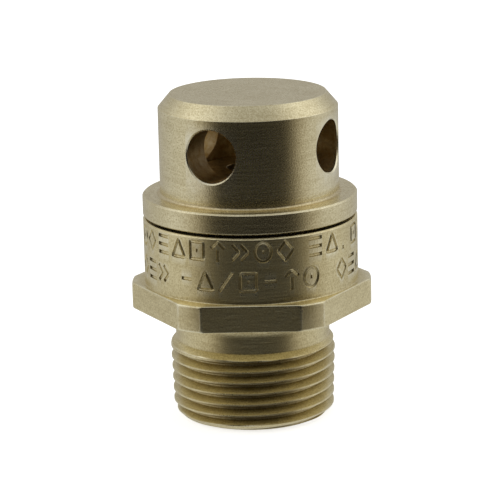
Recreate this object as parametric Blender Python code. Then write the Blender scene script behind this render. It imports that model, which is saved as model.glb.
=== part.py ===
# Vacuum relief vent for a 3/4 inch pipe: a brass body that screws into the pipe, a brass cap with four
# cross-drilled air ports, and inside them a spring-loaded disc that opens downwards to let air in.
# The Z axis is the valve's axis. The origin is the centre of the thread's end face, and +Z is up.

import math

import bmesh
import bpy

MM = 0.001

# Pipe thread, 3/4-14 NPT
THREAD_PITCH = 25.4 / 14 * MM
THREAD_END_R = 13.02 * MM        # crest radius at the small end
THREAD_MAX_R = 13.36 * MM        # crest radius where the blank limits it
THREAD_TAPER = 1 / 32            # radius gained per unit of height
THREAD_DEPTH = 1.40 * MM
THREAD_TOP_Z = 12.5 * MM
THREAD_START = 0.765             # height of the first crest at +X, in pitches
END_CHAMFER_R = 11.74 * MM
END_FLAT_R = 11.20 * MM

# Body
NECK_R = 12.5 * MM               # relief between the thread and the hexagon
NECK_START_Z = 12.9 * MM
NECK_FILLET = 2.6 * MM
HEX_LOW_Z = 18.0 * MM
HEX_TOP_Z = 22.3 * MM
HEX_HALF_FLATS = 17.69 * MM
HEX_CORNER_R = 19.36 * MM
HEX_TURN = math.radians(-5.44)
BARREL_R = 17.24 * MM
BARREL_TOP_Z = 32.90 * MM
EDGE_BREAK = 0.25 * MM

# Body, inside
INLET_R = 8.6 * MM
GUIDE_LEDGE_Z = 6.0 * MM
SPRING_BORE_R = 9.8 * MM
CONE_LOW_Z = 16.5 * MM
CONE_TOP_Z = 19.5 * MM
CHAMBER_R = 12.2 * MM
CHAMBER_TOP_Z = 27.2 * MM

# Cap
GAP = 0.3 * MM                   # clearance between pieces that touch
SPIGOT_R = 14.0 * MM
FLANGE_LOW_Z = 33.36 * MM
FLANGE_TOP_Z = 36.7 * MM
CAP_R = 14.375 * MM
CAP_FILLET = 0.45 * MM
CAP_CHAMFER_Z = 50.6 * MM
CAP_TOP_R = 12.5 * MM
CAP_TOP_Z = 52.8 * MM
CAP_BORE_R = 8.6 * MM
CAP_BORE_TOP_Z = 49.4 * MM
PORT_R = 4.2 * MM
PORT_Z = 44.92 * MM

# Gasket under the cap's flange
GASKET_SEAT_R = 15.7 * MM
GASKET_SEAT_Z = 31.7 * MM

# Seat insert, screwed into the cap from below
SEAT_BORE_R = 6.2 * MM
SEAT_THROAT_R = 3.6 * MM         # hole through the web at the insert's top
SEAT_WEB_T = 1.4 * MM
SEAT_TOP_Z = 40.6 * MM
SEAT_FLANGE_R = 11.0 * MM
SEAT_FLANGE_T = 1.2 * MM
SEAT_LIP_IN_R = 6.7 * MM
SEAT_LIP_OUT_R = 7.4 * MM
SEAT_LIP_H = 0.6 * MM

# Disc and what carries it
DISC_R = 8.1 * MM
DISC_T = 2.0 * MM
HOLDER_R = 9.2 * MM
HOLDER_FLOOR_T = 1.5 * MM
HOLDER_RIM_H = 1.5 * MM
STEM_R = 1.5 * MM
STEM_LOW_Z = 3.6 * MM
STEM_ABOVE_NUT = 0.9 * MM
COLLAR_R = 3.0 * MM
COLLAR_T = 0.8 * MM
WASHER_R = 5.4 * MM
WASHER_T = 0.6 * MM
NUT_HALF_FLATS = 2.75 * MM
NUT_T = 2.0 * MM

# Stem guide, spring and clip
GUIDE_WEB_T = 2.5 * MM
GUIDE_RING_IN_R = 8.2 * MM
GUIDE_HUB_R = 3.0 * MM
GUIDE_SPOKE_W = 2.4 * MM
GUIDE_SPOKES = 4
GUIDE_CLEARANCE = 0.06 * MM
LIFT = 3.0 * MM
SPRING_COIL_R = 4.9 * MM
SPRING_WIRE_R = 0.225 * MM
SPRING_TURNS = 7.5
CLIP_R = 3.1 * MM
CLIP_T = 0.6 * MM
CLIP_Z = 5.0 * MM
CLIP_MOUTH = math.radians(70)

# Roundness of the turned shapes
TURN_STEPS = 40
PORT_STEPS = 32
THREAD_STEPS = 30                # per turn
SPRING_STEPS = 16                # per turn

# Heights that follow from the sizes above
SPIGOT_LOW_Z = CHAMBER_TOP_Z + GAP
SEAT_FLANGE_Z = SPIGOT_LOW_Z - GAP - SEAT_FLANGE_T
SEAT_LIP_Z = SEAT_FLANGE_Z - SEAT_LIP_H
DISC_Z = SEAT_LIP_Z - GAP - DISC_T
HOLDER_Z = DISC_Z - GAP - HOLDER_FLOOR_T
COLLAR_Z = HOLDER_Z - GAP - COLLAR_T
WASHER_Z = DISC_Z + DISC_T + GAP
NUT_Z = WASHER_Z + WASHER_T + GAP
STEM_TOP_Z = NUT_Z + NUT_T + STEM_ABOVE_NUT
GUIDE_Z = GUIDE_LEDGE_Z + GAP
GUIDE_TOWER_TOP_Z = COLLAR_Z - GAP - LIFT
SPRING_LOW_Z = GUIDE_Z + GUIDE_WEB_T + GAP
SPRING_TOP_Z = HOLDER_Z - GAP
HOLE_R = STEM_R + GAP            # stem hole in the disc, holder, washer, nut and clip


def clear_scene():
    for item in list(bpy.data.objects):
        bpy.data.objects.remove(item, do_unlink=True)


def make_material(name, colour, roughness, metallic):
    material = bpy.data.materials.new(name)
    material.use_nodes = True
    shader = material.node_tree.nodes["Principled BSDF"]
    shader.inputs["Base Color"].default_value = (*colour, 1.0)
    shader.inputs["Roughness"].default_value = roughness
    shader.inputs["Metallic"].default_value = metallic
    return material


def add_mesh_object(name, mesh_data, material=None, parent=None, at=(0.0, 0.0, 0.0)):
    mesh = bpy.data.meshes.new(name)
    bmesh.ops.recalc_face_normals(mesh_data, faces=mesh_data.faces)
    mesh_data.to_mesh(mesh)
    mesh_data.free()
    mesh.shade_smooth()
    mesh.set_sharp_from_angle(angle=math.radians(30))
    item = bpy.data.objects.new(name, mesh)
    bpy.context.collection.objects.link(item)
    item.parent = parent
    item.location = at
    if material:
        mesh.materials.append(material)
    return item


def turned(profile, closed=True, steps=TURN_STEPS):
    # Turns (radius, height) points about Z: a closed profile gives a ring, an open one starts and ends on Z.
    shape = bmesh.new()
    points = [shape.verts.new((radius, 0.0, height)) for radius, height in profile]
    pairs = list(zip(points, points[1:]))
    if closed:
        pairs.append((points[-1], points[0]))
    edges = [shape.edges.new(pair) for pair in pairs]
    bmesh.ops.spin(shape, geom=points + edges, cent=(0, 0, 0), axis=(0, 0, 1),
                   angle=math.tau, steps=steps, use_merge=True, use_duplicate=False)
    bmesh.ops.remove_doubles(shape, verts=shape.verts, dist=1e-7)
    return shape


def extruded(outline, height):
    # Stands a flat outline of (x, y) points up into a prism.
    shape = bmesh.new()
    base = shape.faces.new([shape.verts.new((x, y, 0.0)) for x, y in outline])
    grown = bmesh.ops.extrude_face_region(shape, geom=[base])
    top = [item for item in grown["geom"] if isinstance(item, bmesh.types.BMVert)]
    bmesh.ops.translate(shape, verts=top, vec=(0, 0, height))
    return shape


def extruded_ring(outline, hole_r, height):
    # Stands a flat outline up into a prism with a round hole through it, one hole point per outline point.
    shape = bmesh.new()
    rows = []
    for x, y in outline:
        shrink = hole_r / math.hypot(x, y)
        corners = [(x, y, 0.0), (x, y, height), (x * shrink, y * shrink, height), (x * shrink, y * shrink, 0.0)]
        rows.append([shape.verts.new(corner) for corner in corners])
    for row, following_row in zip(rows, rows[1:] + rows[:1]):
        for side in range(4):
            following = (side + 1) % 4
            shape.faces.new((row[side], row[following], following_row[following], following_row[side]))
    return shape


def arc(radius, start, end, steps):
    turns = [start + (end - start) * index / steps for index in range(steps + 1)]
    return [(radius * math.cos(turn), radius * math.sin(turn)) for turn in turns]


def make_cutter(name, mesh_data, at=(0.0, 0.0, 0.0), rotation=(0.0, 0.0, 0.0)):
    tool = add_mesh_object(name, mesh_data, at=at)
    tool.rotation_euler = rotation
    tool.hide_render = True
    tool.display_type = "WIRE"
    return tool


def apply_boolean(item, tool, operation):
    change = item.modifiers.new(tool.name, "BOOLEAN")
    change.operation = operation
    change.solver = "EXACT"
    change.object = tool


def crest_radius(height):
    # The taper, held to the blank's radius and cut by the chamfers at the thread's two ends.
    tapered = THREAD_END_R + THREAD_TAPER * height
    return min(tapered, THREAD_MAX_R, END_CHAMFER_R + max(height, 0.0), NECK_R + NECK_START_Z - height)


def root_radius(height):
    return THREAD_END_R + THREAD_TAPER * height - THREAD_DEPTH


def thread_ridge():
    # One tapered ridge wound up the pipe end, sunk a little into the root so that the two can be joined.
    crest_half = 0.10 * MM
    root_half = 0.5 * THREAD_PITCH - 0.10 * MM
    sunk = 0.4 * MM
    fade = 0.35                                  # turns over which each end rises from the root
    start_z = THREAD_START * THREAD_PITCH
    turns = (THREAD_TOP_Z - crest_half - start_z) / THREAD_PITCH
    count = round(turns * THREAD_STEPS)
    shape = bmesh.new()
    rows = []
    for index in range(count + 1):
        turn = index / THREAD_STEPS
        angle = math.tau * turn
        middle = start_z + THREAD_PITCH * turn
        rise = min(1.0, 0.05 + turn / fade, 0.05 + (turns - turn) / fade)
        low = root_radius(middle) - sunk
        crest = root_radius(middle) + rise * (crest_radius(middle - crest_half) - root_radius(middle))
        section = [(low, -root_half), (root_radius(middle), -root_half), (crest, -crest_half),
                   (crest, crest_half), (root_radius(middle), root_half), (low, root_half)]
        rows.append([shape.verts.new((radius * math.cos(angle), radius * math.sin(angle), middle + offset))
                     for radius, offset in section])
    for lower, upper in zip(rows, rows[1:]):
        for side in range(len(lower)):
            following = (side + 1) % len(lower)
            shape.faces.new((lower[side], lower[following], upper[following], upper[side]))
    shape.faces.new(rows[0])
    shape.faces.new(list(reversed(rows[-1])))
    return shape


def hex_outline(half_flats, corner_r):
    # A hexagon whose corners are turned down to corner_r.
    half_flat_angle = math.acos(half_flats / corner_r)
    points = []
    for flat in range(6):
        corner = math.radians(60) * flat + math.radians(30)
        half_corner = math.radians(30) - half_flat_angle
        points += arc(corner_r, corner - half_corner, corner + half_corner, 3)
    return points


def make_body(material):
    barrel_low = HEX_TOP_Z - EDGE_BREAK          # a little below the hexagon's top, so that the two join
    sunk = EDGE_BREAK                            # the fillet runs this far into the hexagon
    fillet_low = HEX_LOW_Z + sunk - NECK_FILLET
    fillet = [(NECK_R + NECK_FILLET * (1 - math.cos(turn)), fillet_low + NECK_FILLET * math.sin(turn))
              for turn in (math.radians(angle) for angle in (0, 30, 60, 90))]
    outer = [(INLET_R, 0), (END_FLAT_R, 0), (root_radius(EDGE_BREAK), EDGE_BREAK),
             (root_radius(THREAD_TOP_Z), THREAD_TOP_Z), (NECK_R, NECK_START_Z), *fillet,
             (fillet[-1][0], barrel_low), (BARREL_R, barrel_low), (BARREL_R, BARREL_TOP_Z - EDGE_BREAK),
             (BARREL_R - EDGE_BREAK, BARREL_TOP_Z)]
    inner = [(GASKET_SEAT_R, BARREL_TOP_Z), (GASKET_SEAT_R, GASKET_SEAT_Z), (SPIGOT_R + GAP, GASKET_SEAT_Z),
             (SPIGOT_R + GAP, CHAMBER_TOP_Z), (CHAMBER_R, CHAMBER_TOP_Z), (CHAMBER_R, CONE_TOP_Z),
             (SPRING_BORE_R, CONE_LOW_Z), (SPRING_BORE_R, GUIDE_LEDGE_Z), (INLET_R, GUIDE_LEDGE_Z)]
    body = add_mesh_object("valve_body", turned(outer + inner), material)
    hex_hole_r = (CHAMBER_R + NECK_R) / 2
    hexagon = extruded_ring(hex_outline(HEX_HALF_FLATS, HEX_CORNER_R), hex_hole_r, HEX_TOP_Z - HEX_LOW_Z)
    apply_boolean(body, make_cutter("hex_shape", hexagon, at=(0, 0, HEX_LOW_Z), rotation=(0, 0, HEX_TURN)), "UNION")
    apply_boolean(body, make_cutter("thread_shape", thread_ridge()), "UNION")
    return body


def make_cap(material):
    fillet = [(CAP_R + CAP_FILLET * (1 - math.cos(turn)), FLANGE_TOP_Z + CAP_FILLET * (1 - math.sin(turn)))
              for turn in (math.radians(90), math.radians(45), 0)]
    profile = [(CAP_BORE_R, SPIGOT_LOW_Z), (SPIGOT_R, SPIGOT_LOW_Z), (SPIGOT_R, FLANGE_LOW_Z),
               (BARREL_R - EDGE_BREAK, FLANGE_LOW_Z), (BARREL_R, FLANGE_LOW_Z + EDGE_BREAK),
               (BARREL_R, FLANGE_TOP_Z - EDGE_BREAK), (BARREL_R - EDGE_BREAK, FLANGE_TOP_Z), *fillet,
               (CAP_R, CAP_CHAMFER_Z), (CAP_TOP_R, CAP_TOP_Z), (0, CAP_TOP_Z),
               (0, CAP_BORE_TOP_Z), (CAP_BORE_R, CAP_BORE_TOP_Z)]
    cap = add_mesh_object("valve_cap", turned(profile), material)
    drill = [(0, -2 * CAP_R), (PORT_R, -2 * CAP_R), (PORT_R, 2 * CAP_R), (0, 2 * CAP_R)]
    quarter = math.radians(90)
    for name, rotation in (("port_drill_x", (0, quarter, 0)), ("port_drill_y", (quarter, 0, 0))):
        tool = make_cutter(name, turned(drill, closed=False, steps=PORT_STEPS), at=(0, 0, PORT_Z), rotation=rotation)
        apply_boolean(cap, tool, "DIFFERENCE")
    return cap


def make_gasket(material):
    thickness = FLANGE_LOW_Z - GASKET_SEAT_Z - 2 * GAP
    inner_r = SPIGOT_R + GAP
    outer_r = GASKET_SEAT_R - GAP
    profile = [(inner_r, 0), (outer_r, 0), (outer_r, thickness), (inner_r, thickness)]
    return add_mesh_object("cap_gasket", turned(profile), material, at=(0, 0, GASKET_SEAT_Z + GAP))


def make_seat_insert(material):
    sleeve_r = CAP_BORE_R - GAP
    flange_top = SEAT_LIP_H + SEAT_FLANGE_T
    top = SEAT_TOP_Z - SEAT_LIP_Z
    profile = [(SEAT_BORE_R, SEAT_LIP_H), (SEAT_LIP_IN_R, 0), (SEAT_LIP_OUT_R, 0), (SEAT_LIP_OUT_R, SEAT_LIP_H),
               (SEAT_FLANGE_R, SEAT_LIP_H), (SEAT_FLANGE_R, flange_top), (sleeve_r, flange_top),
               (sleeve_r, top), (SEAT_THROAT_R, top), (SEAT_THROAT_R, top - SEAT_WEB_T),
               (SEAT_BORE_R, top - SEAT_WEB_T)]
    return add_mesh_object("seat_insert", turned(profile), material, at=(0, 0, SEAT_LIP_Z))


def make_disc(material, parent):
    profile = [(HOLE_R, 0), (DISC_R, 0), (DISC_R, DISC_T), (HOLE_R, DISC_T)]
    return add_mesh_object("seal_disc", turned(profile), material, parent, (0, 0, DISC_Z))


def make_disc_holder(material, parent):
    rim_in_r = DISC_R + GAP
    rim_top = HOLDER_FLOOR_T + HOLDER_RIM_H
    profile = [(HOLE_R, 0), (HOLDER_R - EDGE_BREAK, 0), (HOLDER_R, EDGE_BREAK), (HOLDER_R, rim_top),
               (rim_in_r, rim_top), (rim_in_r, HOLDER_FLOOR_T), (HOLE_R, HOLDER_FLOOR_T)]
    return add_mesh_object("disc_holder", turned(profile), material, parent, (0, 0, HOLDER_Z))


def make_washer(material, parent):
    profile = [(HOLE_R, 0), (WASHER_R, 0), (WASHER_R, WASHER_T), (HOLE_R, WASHER_T)]
    return add_mesh_object("disc_washer", turned(profile), material, parent, (0, 0, WASHER_Z))


def make_nut(material, parent):
    corner_r = NUT_HALF_FLATS / math.cos(math.radians(27))
    shape = extruded_ring(hex_outline(NUT_HALF_FLATS, corner_r), HOLE_R, NUT_T)
    return add_mesh_object("disc_nut", shape, material, parent, (0, 0, NUT_Z))


def make_stem(material, parent):
    collar_low = COLLAR_Z - STEM_LOW_Z
    collar_top = collar_low + COLLAR_T
    top = STEM_TOP_Z - STEM_LOW_Z
    profile = [(0, 0), (STEM_R - EDGE_BREAK, 0), (STEM_R, EDGE_BREAK), (STEM_R, collar_low),
               (COLLAR_R, collar_low), (COLLAR_R, collar_top), (STEM_R, collar_top),
               (STEM_R, top - EDGE_BREAK), (STEM_R - EDGE_BREAK, top), (0, top)]
    return add_mesh_object("poppet_stem", turned(profile, closed=False, steps=24), material,
                           parent, (0, 0, STEM_LOW_Z))


def make_clip(material, parent):
    # A spring clip in the stem's lower end, open on one side.
    gap_half = CLIP_MOUTH / 2
    steps = 20
    outer = arc(CLIP_R, gap_half, math.tau - gap_half, steps)
    inner = arc(HOLE_R, gap_half, math.tau - gap_half, steps)
    return add_mesh_object("stem_clip", extruded(outer + inner[::-1], CLIP_T), material, parent, (0, 0, CLIP_Z))


def make_guide(material):
    bore_r = STEM_R + GUIDE_CLEARANCE
    tower_top = GUIDE_TOWER_TOP_Z - GUIDE_Z
    rim_r = SPRING_BORE_R - GAP
    profile = [(bore_r, 0), (rim_r, 0), (rim_r, GUIDE_WEB_T), (GUIDE_HUB_R, GUIDE_WEB_T),
               (GUIDE_HUB_R, tower_top), (bore_r, tower_top)]
    guide = add_mesh_object("stem_guide", turned(profile, steps=TURN_STEPS), material, at=(0, 0, GUIDE_Z))
    hub_r = GUIDE_HUB_R + 2 * GAP
    outer_half = math.radians(180 / GUIDE_SPOKES) - math.asin(GUIDE_SPOKE_W / 2 / GUIDE_RING_IN_R)
    inner_half = math.radians(180 / GUIDE_SPOKES) - math.asin(GUIDE_SPOKE_W / 2 / hub_r)
    window = arc(GUIDE_RING_IN_R, -outer_half, outer_half, 8) + arc(hub_r, inner_half, -inner_half, 3)
    for index in range(GUIDE_SPOKES):
        turn = math.tau * (index + 0.5) / GUIDE_SPOKES
        tool = make_cutter(f"guide_window_{index}", extruded(window, 2 * GUIDE_WEB_T),
                           at=(0, 0, GUIDE_Z - GUIDE_WEB_T / 2), rotation=(0, 0, turn))
        apply_boolean(guide, tool, "DIFFERENCE")
    return guide


def make_spring(material):
    # A wire helix whose first and last turns lie close together.
    length = SPRING_TOP_Z - SPRING_LOW_Z - 2 * SPRING_WIRE_R
    end_pitch = 2 * SPRING_WIRE_R + GAP
    open_turns = SPRING_TURNS - 2
    open_pitch = (length - 2 * end_pitch) / open_turns
    curve = bpy.data.curves.new("return_spring", "CURVE")
    curve.dimensions = "3D"
    curve.bevel_depth = SPRING_WIRE_R
    curve.bevel_resolution = 1
    curve.use_fill_caps = True
    curve.materials.append(material)
    count = round(SPRING_TURNS * SPRING_STEPS)
    line = curve.splines.new("POLY")
    line.points.add(count)
    for index, point in enumerate(line.points):
        turn = SPRING_TURNS * index / count
        in_open = min(max(turn - 1, 0), open_turns)
        height = SPRING_WIRE_R + end_pitch * (turn - in_open) + open_pitch * in_open
        angle = math.tau * turn
        point.co = (SPRING_COIL_R * math.cos(angle), SPRING_COIL_R * math.sin(angle), height, 1.0)
    spring = bpy.data.objects.new("return_spring", curve)
    bpy.context.collection.objects.link(spring)
    spring.location = (0, 0, SPRING_LOW_Z)
    return spring


def build():
    clear_scene()
    brass = make_material("satin_brass", (0.58, 0.49, 0.30), 0.36, 1.0)
    cap_brass = make_material("satin_brass_cap", (0.60, 0.52, 0.34), 0.34, 1.0)
    inner_brass = make_material("turned_brass", (0.66, 0.52, 0.26), 0.28, 1.0)
    silicone = make_material("disc_silicone", (0.55, 0.10, 0.06), 0.55, 0.0)
    rubber = make_material("gasket_rubber", (0.02, 0.02, 0.02), 0.70, 0.0)
    steel = make_material("stainless_steel", (0.62, 0.62, 0.60), 0.25, 1.0)
    spring_steel = make_material("spring_wire", (0.55, 0.55, 0.54), 0.30, 1.0)

    make_body(brass)
    make_cap(cap_brass)
    make_gasket(rubber)
    make_seat_insert(inner_brass)
    make_guide(inner_brass)
    make_spring(spring_steel)

    # Everything that lifts off the seat moves together, straight down the valve's axis.
    poppet_axis = bpy.data.objects.new("poppet_axis", None)
    bpy.context.collection.objects.link(poppet_axis)
    make_disc(silicone, poppet_axis)
    make_disc_holder(inner_brass, poppet_axis)
    make_washer(steel, poppet_axis)
    make_nut(inner_brass, poppet_axis)
    make_stem(steel, poppet_axis)
    make_clip(spring_steel, poppet_axis)


build()
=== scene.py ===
import math

import bmesh
import bpy
from mathutils import Matrix, Vector


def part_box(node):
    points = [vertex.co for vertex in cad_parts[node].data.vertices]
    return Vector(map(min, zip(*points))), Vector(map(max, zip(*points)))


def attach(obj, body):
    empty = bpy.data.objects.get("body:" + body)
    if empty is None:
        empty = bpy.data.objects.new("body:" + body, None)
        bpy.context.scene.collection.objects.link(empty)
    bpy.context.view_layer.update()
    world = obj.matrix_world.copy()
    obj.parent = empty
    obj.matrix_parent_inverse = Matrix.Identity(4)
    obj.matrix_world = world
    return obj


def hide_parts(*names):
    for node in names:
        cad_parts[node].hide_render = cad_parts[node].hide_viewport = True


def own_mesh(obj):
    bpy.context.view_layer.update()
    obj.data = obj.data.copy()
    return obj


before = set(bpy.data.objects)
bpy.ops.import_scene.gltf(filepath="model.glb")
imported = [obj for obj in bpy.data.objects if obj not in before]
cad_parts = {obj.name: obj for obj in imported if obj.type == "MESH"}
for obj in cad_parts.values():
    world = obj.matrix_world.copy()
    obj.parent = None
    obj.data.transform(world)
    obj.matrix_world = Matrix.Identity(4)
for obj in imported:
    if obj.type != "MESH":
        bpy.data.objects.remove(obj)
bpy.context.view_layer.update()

mm = 0.001  # every size below is in millimetres
gap = 0.3  # the clearance left between pieces that touch


def span(node):
    # lowest and highest point and the outer radius of a CAD node, in mm
    low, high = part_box(node)
    return low.z / mm, high.z / mm, max(abs(low.x), abs(low.y), high.x, high.y) / mm


# mesh helpers

def softened(corners, closed=True, steps=4, guard=0.12):
    # rounds each (radius, height, round) corner and puts a guard point beside it on a long side
    points = []
    count = len(corners)
    for index, (radius, height, rounding) in enumerate(corners):
        here = Vector((radius, height))
        atEnd = not closed and index in (0, count - 1)
        if atEnd or rounding == 0:
            points.append((radius, height))
            continue
        before = Vector(corners[index - 1][:2]) - here
        after = Vector(corners[(index + 1) % count][:2]) - here
        half = before.angle(after) / 2
        reach = rounding / math.tan(half)
        start = here + before.normalized() * reach
        end = here + after.normalized() * reach
        centre = here + (before.normalized() + after.normalized()).normalized() * (rounding / math.sin(half))
        if before.length > reach + 4 * guard:
            points.append(tuple(here + before.normalized() * (reach + guard)))
        fromCentre = (start - centre).normalized()
        toCentre = (end - centre).normalized()
        for step in range(steps + 1):
            points.append(tuple(centre + fromCentre.slerp(toCentre, step / steps) * rounding))
        if after.length > reach + 4 * guard:
            points.append(tuple(here + after.normalized() * (reach + guard)))
    return points


def pointAt(shape, radius, angle, height):
    return shape.verts.new((radius * mm * math.cos(angle), radius * mm * math.sin(angle), height * mm))


def ringRow(shape, radius, height, angles):
    # one ring of points; radius may be a number or a rule of the angle, and a zero radius is a pole
    if not callable(radius) and radius < 1e-6:
        return [shape.verts.new((0.0, 0.0, height * mm))]
    return [pointAt(shape, radius(angle) if callable(radius) else radius, angle, height) for angle in angles]


def skin(shape, rows, closed=False):
    # faces between rows of points, with a fan where a row is a single pole
    pairs = list(zip(rows, rows[1:]))
    if closed:
        pairs.append((rows[-1], rows[0]))
    for lower, upper in pairs:
        count = max(len(lower), len(upper))
        if count == 1:
            continue  # two poles in a row have no skin between them
        for index in range(count):
            corners = [lower[step % len(lower)] for step in (index, index + 1)]
            corners += [upper[step % len(upper)] for step in (index + 1, index)]
            shape.faces.new(list(dict.fromkeys(corners)))  # a pole comes twice and is used once


def evenAngles(columns, turn=0.0):
    return [math.tau * index / columns + turn for index in range(columns)]


def lathe(profile, columns=128, closed=True):
    shape = bmesh.new()
    skin(shape, [ringRow(shape, radius, height, evenAngles(columns)) for radius, height in profile], closed)
    return shape


def extrude(shape, rings):
    # a skin over the rings with a flat face on each end
    skin(shape, rings)
    shape.faces.new(rings[0])
    shape.faces.new(rings[-1][::-1])


def markLayer(shape, name):
    return shape.verts.layers.float.get(name) or shape.verts.layers.float.new(name)


def markEdges(shape, full=0.30, inwardShare=0.35):
    # stores how sharply each point stands out or lies in a corner, for wear and for dirt and painted shade; full is a
    # bend in radians
    edgeLayer = markLayer(shape, "edgeMark")
    recessLayer = markLayer(shape, "recessMark")
    for point in shape.verts:
        bends = [edge.calc_face_angle_signed(0.0) for edge in point.link_edges]
        point[edgeLayer] = min(max(max(bends), 0.0) / full, 1.0)
        inward = inwardShare * min(max(-min(bends), 0.0) / full, 1.0)
        point[recessLayer] = max(point[recessLayer], inward)


def dullAndShadeInside(shape, radius, below, amount):
    # rougher metal with painted shade nearer the axis than the radius and lower than the height given
    recessLayer = markLayer(shape, "recessMark")
    for point in shape.verts:
        if math.hypot(point.co.x, point.co.y) < radius * mm and point.co.z < below * mm:
            point[recessLayer] = max(point[recessLayer], amount)


def meshOf(name, shape):
    mesh = bpy.data.meshes.new(name)
    shape.to_mesh(mesh)
    shape.free()
    return mesh


def shapeOf(mesh):
    # takes a mesh over as a shape
    shape = bmesh.new()
    shape.from_mesh(mesh)
    bpy.data.meshes.remove(mesh)
    return shape


def placeObject(name, data):
    piece = bpy.data.objects.new(name, data)
    bpy.context.collection.objects.link(piece)
    return piece


def finishPiece(name, shape, material, sharpAngle=23.0):
    # closes doubles, turns the faces outwards, stores the edge marks and makes the object
    bmesh.ops.remove_doubles(shape, verts=shape.verts, dist=0.0008 * mm)
    bmesh.ops.recalc_face_normals(shape, faces=shape.faces)
    markEdges(shape)
    mesh = meshOf(name, shape)
    mesh.shade_smooth()
    mesh.set_sharp_from_angle(angle=math.radians(sharpAngle))
    mesh.materials.clear()
    mesh.materials.append(material)
    return placeObject(name, mesh)


def toolPiece(name, shape):
    # a cutter, kept only until its cut is made
    bmesh.ops.recalc_face_normals(shape, faces=shape.faces)
    return placeObject(name, meshOf(name, shape))


def meshAfter(piece):
    # the piece's mesh with its modifiers worked out
    bpy.context.view_layer.update()
    depsgraph = bpy.context.evaluated_depsgraph_get()
    return bpy.data.meshes.new_from_object(piece.evaluated_get(depsgraph))


def cutWith(shape, tools, name, crossing=False):
    # takes the tools' shapes out of a closed shape and gives the result back as a new shape
    blank = toolPiece(name + "Blank", shape)
    for tool in tools:
        cut = blank.modifiers.new(tool.name, "BOOLEAN")
        cut.operation = "DIFFERENCE"
        cut.solver = "EXACT"
        cut.use_self = crossing
        cut.object = tool
    result = shapeOf(meshAfter(blank))
    for leftover in [blank] + tools:
        bpy.data.objects.remove(leftover, do_unlink=True)
    return result


# geometry node helpers

def newShapeTree(name, sizes):
    # a geometry node tree with a geometry socket each way and one float input for each size
    tree = bpy.data.node_groups.new(name, "GeometryNodeTree")
    tree.interface.new_socket(name="Geometry", in_out="INPUT", socket_type="NodeSocketGeometry")
    tree.interface.new_socket(name="Finish", in_out="INPUT", socket_type="NodeSocketMaterial")
    for label in sizes:
        tree.interface.new_socket(name=label, in_out="INPUT", socket_type="NodeSocketFloat")
    tree.interface.new_socket(name="Geometry", in_out="OUTPUT", socket_type="NodeSocketGeometry")
    given = tree.nodes.new("NodeGroupInput")
    result = tree.nodes.new("NodeGroupOutput")
    return tree, given.outputs, result.inputs["Geometry"]


def addNode(tree, kind, inputs=None, **options):
    # adds a node, sets its options, and feeds its inputs with sockets or plain values
    node = tree.nodes.new(kind)
    for option, value in options.items():
        setattr(node, option, value)
    for key, value in (inputs or {}).items():
        socket = node.inputs[key]
        if isinstance(value, bpy.types.NodeSocket):
            tree.links.new(value, socket)
        else:
            socket.default_value = value
    return node


def calc(tree, operation, *values):
    return addNode(tree, "ShaderNodeMath", dict(enumerate(values)), operation=operation).outputs[0]


def sums(tree, *operations):
    # a short way to write each sum asked for in one tree
    return [lambda *values, operation=operation: calc(tree, operation, *values) for operation in operations]


def allSums(tree):
    return sums(tree, "ADD", "SUBTRACT", "MULTIPLY", "DIVIDE", "MINIMUM", "MAXIMUM")


def partsOf(tree, vector):
    return addNode(tree, "ShaderNodeSeparateXYZ", {0: vector}).outputs


def roundAxis(tree, radius, angle, height):
    # a point at a radius and angle round the axis
    return addNode(tree, "ShaderNodeCombineXYZ", {
        "X": calc(tree, "MULTIPLY", radius, calc(tree, "COSINE", angle)),
        "Y": calc(tree, "MULTIPLY", radius, calc(tree, "SINE", angle)), "Z": height}).outputs[0]


def moveTo(tree, geometry, point):
    return addNode(tree, "GeometryNodeSetPosition", {"Geometry": geometry, "Position": point}).outputs[0]


def sweep(tree, path, sides, radius):
    # a round bar along a path
    section = addNode(tree, "GeometryNodeCurvePrimitiveCircle", {"Resolution": sides, "Radius": radius}).outputs[0]
    return addNode(tree, "GeometryNodeCurveToMesh",
                   {"Curve": path, "Profile Curve": section, "Fill Caps": True}).outputs[0]


def endTree(tree, geometry, finish, result):
    # makes the shape real and puts its finish on
    real = addNode(tree, "GeometryNodeRealizeInstances", {"Geometry": geometry}).outputs[0]
    painted = addNode(tree, "GeometryNodeSetMaterial", {"Geometry": real, "Material": finish}).outputs[0]
    tree.links.new(painted, result)
    return tree


def runTree(name, makeTree, material, sizes, source=None):
    # makes a tree with these sizes as inputs, runs it on a curve or an empty mesh and gives a new shape
    tree = makeTree(name, sizes)
    carrier = source or placeObject(name, bpy.data.meshes.new(name))
    change = carrier.modifiers.new(name, "NODES")
    change.node_group = tree
    values = dict(sizes, Finish=material)
    for item in tree.interface.items_tree:
        if item.in_out == "INPUT" and item.name in values:
            change[item.identifier] = values[item.name]
    grown = meshAfter(carrier)
    carrier.modifiers.remove(change)
    bpy.data.objects.remove(carrier, do_unlink=True)
    return shapeOf(grown)


# shader groups shared by the finishes

def newShaderGroup(name, inputs, outputs):
    # a shader group that takes a position and some values, and gives values
    group = bpy.data.node_groups.new(name, "ShaderNodeTree")
    group.interface.new_socket(name="Position", in_out="INPUT", socket_type="NodeSocketVector")
    for label, value in inputs.items():
        group.interface.new_socket(name=label, in_out="INPUT", socket_type="NodeSocketFloat").default_value = value
    for label in outputs:
        group.interface.new_socket(name=label, in_out="OUTPUT", socket_type="NodeSocketFloat")
    given = group.nodes.new("NodeGroupInput")
    result = group.nodes.new("NodeGroupOutput")
    return group, given.outputs, result.inputs


def remap(tree, value, fromLow, fromHigh, toLow, toHigh):
    return addNode(tree, "ShaderNodeMapRange", {"Value": value, "From Min": fromLow, "From Max": fromHigh,
                                                "To Min": toLow, "To Max": toHigh}).outputs["Result"]


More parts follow.
